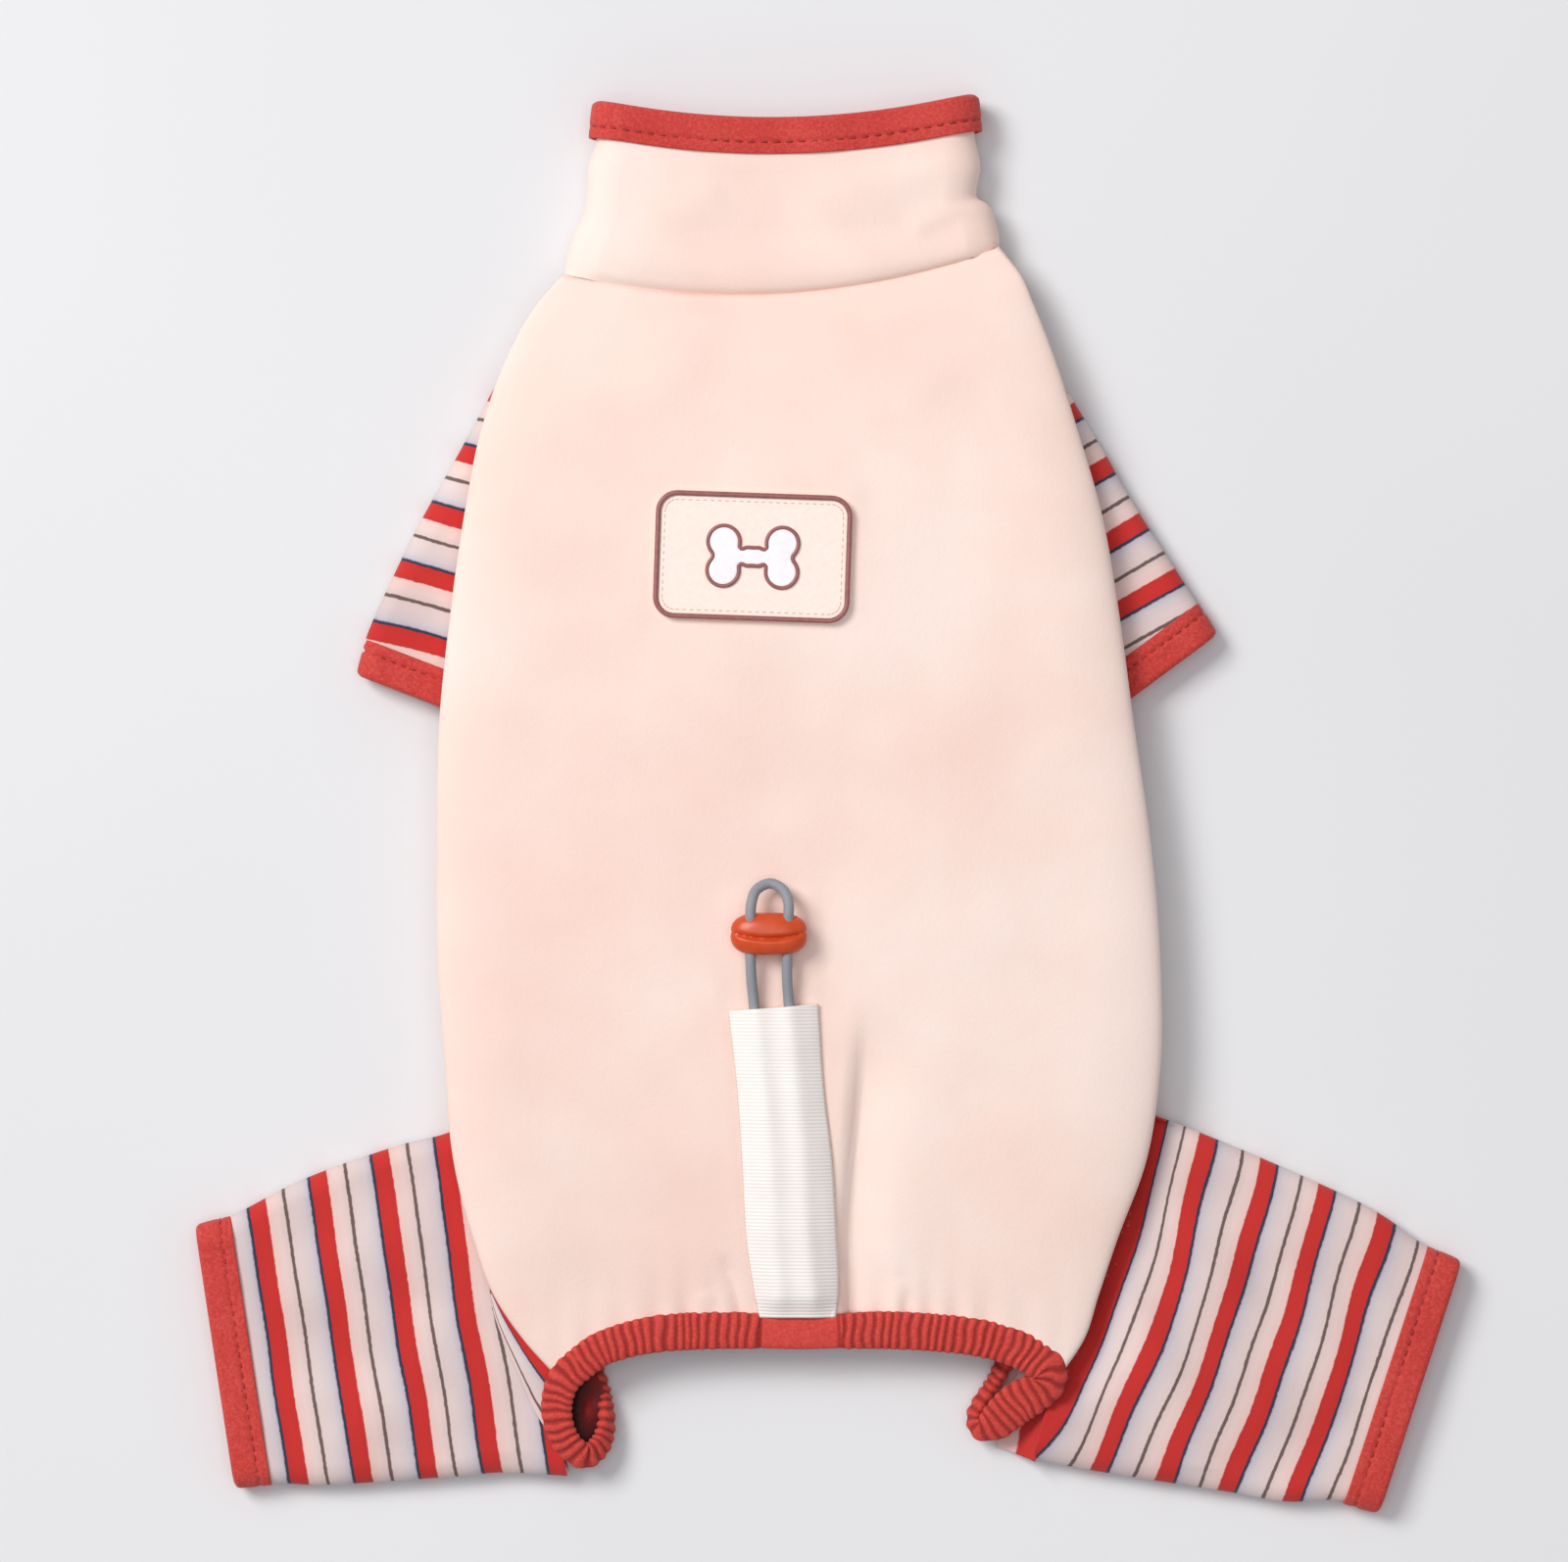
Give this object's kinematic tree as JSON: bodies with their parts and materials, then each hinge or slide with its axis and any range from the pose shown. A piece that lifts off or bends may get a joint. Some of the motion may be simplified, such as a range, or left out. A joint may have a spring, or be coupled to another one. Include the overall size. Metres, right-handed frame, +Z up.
{
  "type": "dog jumpsuit",
  "caption": "Four-legged dog jumpsuit lying flat: hollow jersey torso, stand-up collar, striped sleeves and legs, bound cuffs, elastic rear hem, drawcord with stopper.",
  "frame": {"origin": "middle of the garment's footprint on the surface that it lies on", "axes": "+Y from the tail towards the neck, +Z up through the back of the garment, +X to the right as seen from above with the neck up"},
  "size_m": [0.3222, 0.3624, 0.0295],
  "materials": {
    "shell_jersey": "soft matt brushed jersey, pale peach",
    "striped_jersey": "matt striped jersey, off-white with red, navy and grey-brown lines",
    "binding_jersey": "matt rib binding, coral red",
    "casing_tape": "ribbed woven tape, off-white",
    "cord_elastic": "braided round elastic, grey",
    "stopper_plastic": "satin moulded plastic, orange red",
    "patch_rubber": "matt moulded soft rubber, cream",
    "relief_rubber": "matt moulded soft rubber, mauve brown"
  },
  "bodies": {
    "root": {"back_panel": "shell_jersey", "belly_panel": "shell_jersey", "collar": "shell_jersey", "neck_binding": "binding_jersey", "sleeve_left": "striped_jersey", "sleeve_right": "striped_jersey", "sleeve_cuff_left": "binding_jersey", "sleeve_cuff_right": "binding_jersey", "hind_leg_left": "striped_jersey", "hind_leg_right": "striped_jersey", "hind_cuff_left": "binding_jersey", "hind_cuff_right": "binding_jersey", "rear_binding": "binding_jersey", "casing": "casing_tape", "drawcord": "cord_elastic", "cord_stopper": "stopper_plastic", "patch": "patch_rubber", "patch_rim": "relief_rubber", "patch_motif": "relief_rubber"}
  },
  "joints": []
}
